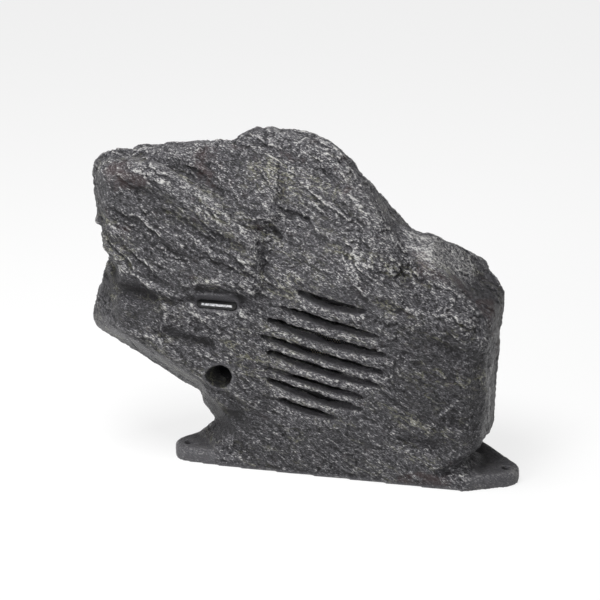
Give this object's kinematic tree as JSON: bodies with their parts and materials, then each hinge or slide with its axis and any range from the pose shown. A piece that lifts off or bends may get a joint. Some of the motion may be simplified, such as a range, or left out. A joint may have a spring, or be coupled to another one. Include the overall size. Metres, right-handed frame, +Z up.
{
  "type": "rock shaped garden speaker",
  "caption": "Garden speaker cast as a hollow dark grey boulder on a flat base with anchor ears, with a louvred front, a coaxial driver, a bass port and a bolted base cover.",
  "frame": {"origin": "midway between the two anchor holes, on the underside of the base", "axes": "+X to the right along the line of the anchor holes, +Y to the back, +Z up; the louvred front faces -Y, turned three degrees to the left"},
  "size_m": [0.4098, 0.1478, 0.3129],
  "materials": {
    "stone_cast_resin": "cast resin in stone relief, dark grey with lighter ridges",
    "satin_aluminium": "satin stamped sheet",
    "black_coated_steel_mesh": "black coated perforated sheet",
    "closed_cell_foam": "matt closed-cell foam",
    "black_coated_steel": "black coated pressed steel",
    "zinc_plated_steel": "zinc plated",
    "ferrite": "sintered and ground ferrite",
    "former_aluminium": "thin rolled foil",
    "enamelled_copper": "enamelled copper wire",
    "moulded_polypropylene": "thin moulded sheet",
    "butyl_rubber": "smooth butyl rubber",
    "treated_cotton": "resin-dipped cotton weave",
    "black_nylon": "moulded nylon",
    "coated_film": "thin formed film",
    "lead_insulation": "insulated wire",
    "polyester_wadding": "loose fibre wadding",
    "abs_cover": "moulded ABS, fine texture",
    "neoprene": "die-cut sheet",
    "brass_turned": "turned and knurled brass",
    "glass_fibre_laminate": "solder-masked laminate",
    "film_capacitor_wrap": "taped film body",
    "terminal_polyamide": "moulded polyamide"
  },
  "bodies": {
    "speaker": {"rock_shell": "stone_cast_resin", "badge_plate": "satin_aluminium", "grille_screen": "black_coated_steel_mesh", "driver_gasket": "closed_cell_foam", "driver_basket": "black_coated_steel", "driver_screws": "zinc_plated_steel", "top_plate": "zinc_plated_steel", "magnet_ring": "ferrite", "pole_yoke": "zinc_plated_steel", "surround": "butyl_rubber", "spider": "treated_cotton", "tweeter_post": "zinc_plated_steel", "tweeter_cup": "black_nylon", "tweeter_magnet": "ferrite", "tweeter_dome": "coated_film", "terminal_strip": "black_nylon", "driver_leads": "lead_insulation", "port_tube": "black_nylon", "damping_pad": "polyester_wadding", "base_plate": "abs_cover", "base_gasket": "neoprene", "base_screws": "zinc_plated_steel", "base_inserts": "brass_turned", "crossover_board": "glass_fibre_laminate", "board_screws": "zinc_plated_steel", "crossover_inductor": "enamelled_copper", "crossover_capacitor": "film_capacitor_wrap", "input_terminal": "terminal_polyamide", "gland_body": "black_nylon", "gland_seal": "neoprene", "gland_cap": "black_nylon", "gland_nut": "black_nylon"},
    "diaphragm": {"cone": "moulded_polypropylene", "coil_former": "former_aluminium", "coil_winding": "enamelled_copper"}
  },
  "joints": [
    {"name": "cone_travel", "type": "slide", "parent": "speaker", "child": "diaphragm", "axis": [-0.0523, -0.9986, 0], "range_m": [-0.003, 0.003], "stiffness_N_per_m": 1100, "deforming": ["surround", "spider"]}
  ]
}
